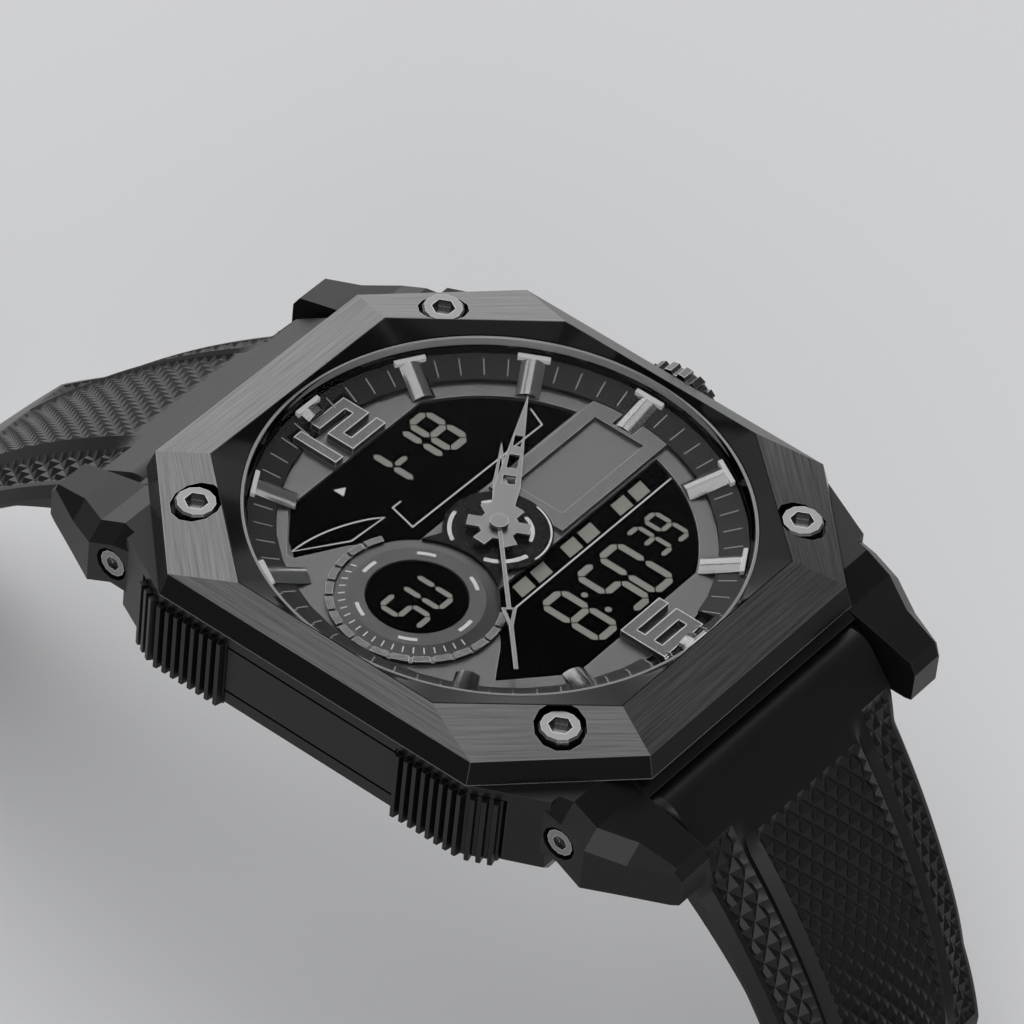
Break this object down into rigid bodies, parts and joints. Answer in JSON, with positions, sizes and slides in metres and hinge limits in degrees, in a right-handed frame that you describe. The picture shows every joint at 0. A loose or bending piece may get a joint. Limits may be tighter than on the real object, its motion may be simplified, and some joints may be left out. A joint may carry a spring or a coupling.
{
  "type": "wristwatch",
  "caption": "Wristwatch with hands, small side dial and display windows under a faceted screwed bezel, ribbed pushers, fluted crown and an open rubber strap with buckle.",
  "frame": {"origin": "Middle of the case back's outer face, on the axis of the hands. The open strap halves run down from it and carry the watch on their outward feet.", "axes": "+X points to 3 o'clock and the crown, +Y to 12 o'clock, +Z out of the dial through the glass."},
  "size_m": [0.0474, 0.2173, 0.0513],
  "materials": {
    "gunmetal": "brushed facets, polished dish",
    "screw_steel": "turned and polished",
    "glass": "clear, polished",
    "pale_ring": "smooth",
    "ring_grey": "satin",
    "polished_steel": "polished with brushed tops",
    "dial_satin": "satin",
    "black_gloss": "glossy",
    "lcd_black": "dark display with pale segments",
    "case_black": "satin black coating",
    "holder_plastic": "moulded",
    "movement_metal": "fine brushed",
    "board_green": "lacquered",
    "connector_rubber": "soft",
    "brass": "machined",
    "copper": "enamelled winding",
    "hand_steel": "polished and brushed",
    "spring_steel": "drawn",
    "back_steel": "brushed",
    "rubber_black": "moulded",
    "strap_rubber": "moulded, with a fine relief",
    "buckle_steel": "satin black coating"
  },
  "bodies": {
    "case": {"case_middle": "case_black", "bezel": "gunmetal", "bezel_screws": "screw_steel", "crystal": "glass", "crystal_gasket": "pale_ring", "minute_ring": "ring_grey", "hour_markers": "polished_steel", "numerals": "polished_steel", "dial_plate": "dial_satin", "window_frame": "dial_satin", "subdial_turret": "ring_grey", "subdial_rim": "polished_steel", "centre_plate": "black_gloss", "lcd_panels": "lcd_black", "end_link_12": "case_black", "end_link_6": "case_black", "lug_screws": "screw_steel", "movement_holder": "holder_plastic", "train_bridge": "movement_metal", "circuit_board": "board_green", "battery": "movement_metal", "battery_clip": "movement_metal", "lcd_connectors": "connector_rubber", "buzzer": "brass", "motor_coil": "copper", "motor_stator": "movement_metal", "crown_tube": "movement_metal", "crown_gasket": "rubber_black", "pusher_spring_2": "spring_steel", "pusher_spring_4": "spring_steel", "pusher_spring_8": "spring_steel", "pusher_spring_10": "spring_steel", "pusher_gaskets": "rubber_black", "case_back": "back_steel", "case_back_gasket": "rubber_black", "case_back_screws": "screw_steel", "strap_pins": "spring_steel"},
    "seconds": {"second_wheel": "brass", "second_hand": "hand_steel"},
    "step": {"step_wheel": "brass"},
    "rotor": {"rotor": "movement_metal"},
    "third": {"third_wheel": "brass"},
    "centre": {"centre_wheel": "brass"},
    "minutes": {"cannon_pinion": "brass", "minute_hand": "hand_steel"},
    "motion": {"minute_wheel": "brass"},
    "hours": {"hour_wheel": "brass", "hour_hand": "hand_steel"},
    "stem": {"stem_clip": "movement_metal"},
    "crown": {"crown": "case_black"},
    "pusher_2": {"pusher_2": "case_black"},
    "pusher_4": {"pusher_4": "case_black"},
    "pusher_8": {"pusher_8": "case_black"},
    "pusher_10": {"pusher_10": "case_black"},
    "strap_12": {"strap_12": "strap_rubber"},
    "strap_6": {"strap_6": "strap_rubber"},
    "keeper": {"keeper_loose": "strap_rubber"},
    "buckle": {"buckle_frame": "buckle_steel", "buckle_pin": "spring_steel"},
    "tongue": {"buckle_tongue": "buckle_steel"}
  },
  "joints": [
    {"name": "second_hand_turn", "type": "hinge", "parent": "case", "child": "seconds", "pos_m": [0, 0, 0.009], "axis": [0, 0, -1], "continuous": true},
    {"name": "step_wheel_turn", "type": "hinge", "parent": "case", "child": "step", "pos_m": [-0.00115, -0.00316, 0.009], "axis": [0, 0, -1], "continuous": true},
    {"name": "rotor_turn", "type": "hinge", "parent": "case", "child": "rotor", "pos_m": [-0.00386, -0.00414, 0.009], "axis": [0, 0, -1], "continuous": true},
    {"name": "third_wheel_turn", "type": "hinge", "parent": "case", "child": "third", "pos_m": [0.00166, 0.00287, 0.009], "axis": [0, 0, -1], "continuous": true},
    {"name": "centre_wheel_turn", "type": "hinge", "parent": "case", "child": "centre", "pos_m": [0, 0, 0.009], "axis": [0, 0, -1], "continuous": true},
    {"name": "minute_hand_turn", "type": "hinge", "parent": "case", "child": "minutes", "pos_m": [0, 0, 0.009], "axis": [0, 0, -1], "continuous": true},
    {"name": "minute_wheel_turn", "type": "hinge", "parent": "case", "child": "motion", "pos_m": [0.0032, 0, 0.009], "axis": [0, 0, -1], "continuous": true},
    {"name": "hour_hand_turn", "type": "hinge", "parent": "case", "child": "hours", "pos_m": [0, 0, 0.009], "axis": [0, 0, -1], "continuous": true},
    {"name": "crown_pull", "type": "slide", "parent": "case", "child": "stem", "axis": [1, 0, 0], "range_m": [0, 0.001]},
    {"name": "crown_turn", "type": "hinge", "parent": "stem", "child": "crown", "pos_m": [0.02, 0, 0.0081], "axis": [1, 0, 0], "continuous": true},
    {"name": "pusher_2_press", "type": "slide", "parent": "case", "child": "pusher_2", "axis": [-1, 0, 0], "range_m": [0, 0.0008], "stiffness_N_per_m": 1500, "springref_m": -0.0004, "deforming": ["pusher_spring_2"]},
    {"name": "pusher_4_press", "type": "slide", "parent": "case", "child": "pusher_4", "axis": [-1, 0, 0], "range_m": [0, 0.0008], "stiffness_N_per_m": 1500, "springref_m": -0.0004, "deforming": ["pusher_spring_4"]},
    {"name": "pusher_8_press", "type": "slide", "parent": "case", "child": "pusher_8", "axis": [1, 0, 0], "range_m": [0, 0.0008], "stiffness_N_per_m": 1500, "springref_m": -0.0004, "deforming": ["pusher_spring_8"]},
    {"name": "pusher_10_press", "type": "slide", "parent": "case", "child": "pusher_10", "axis": [1, 0, 0], "range_m": [0, 0.0008], "stiffness_N_per_m": 1500, "springref_m": -0.0004, "deforming": ["pusher_spring_10"]},
    {"name": "strap_12_hinge", "type": "hinge", "parent": "case", "child": "strap_12", "pos_m": [0, 0.02545, 0.00635], "axis": [-1, 0, 0], "range_deg": [0, 8]},
    {"name": "strap_6_hinge", "type": "hinge", "parent": "case", "child": "strap_6", "pos_m": [0, -0.02545, 0.00635], "axis": [1, 0, 0], "range_deg": [0, 10]},
    {"name": "keeper_slide", "type": "slide", "parent": "strap_12", "child": "keeper", "axis": [0, 1, 0], "range_m": [-0.002, 0.002]},
    {"name": "buckle_hinge", "type": "hinge", "parent": "strap_12", "child": "buckle", "pos_m": [0, 0.09448, -0.03484], "axis": [1, 0, 0], "range_deg": [-4, 50]},
    {"name": "tongue_hinge", "type": "hinge", "parent": "buckle", "child": "tongue", "pos_m": [0, 0.09448, -0.03484], "axis": [1, 0, 0], "range_deg": [0, 40]}
  ],
  "couplings": [
    {"joint": "step_wheel_turn", "follows": "second_hand_turn", "ratio": -6},
    {"joint": "rotor_turn", "follows": "second_hand_turn", "ratio": 30},
    {"joint": "third_wheel_turn", "follows": "second_hand_turn", "ratio": -0.13333},
    {"joint": "centre_wheel_turn", "follows": "second_hand_turn", "ratio": 0.016667},
    {"joint": "minute_wheel_turn", "follows": "minute_hand_turn", "ratio": -0.33333},
    {"joint": "hour_hand_turn", "follows": "minute_hand_turn", "ratio": 0.083333}
  ]
}
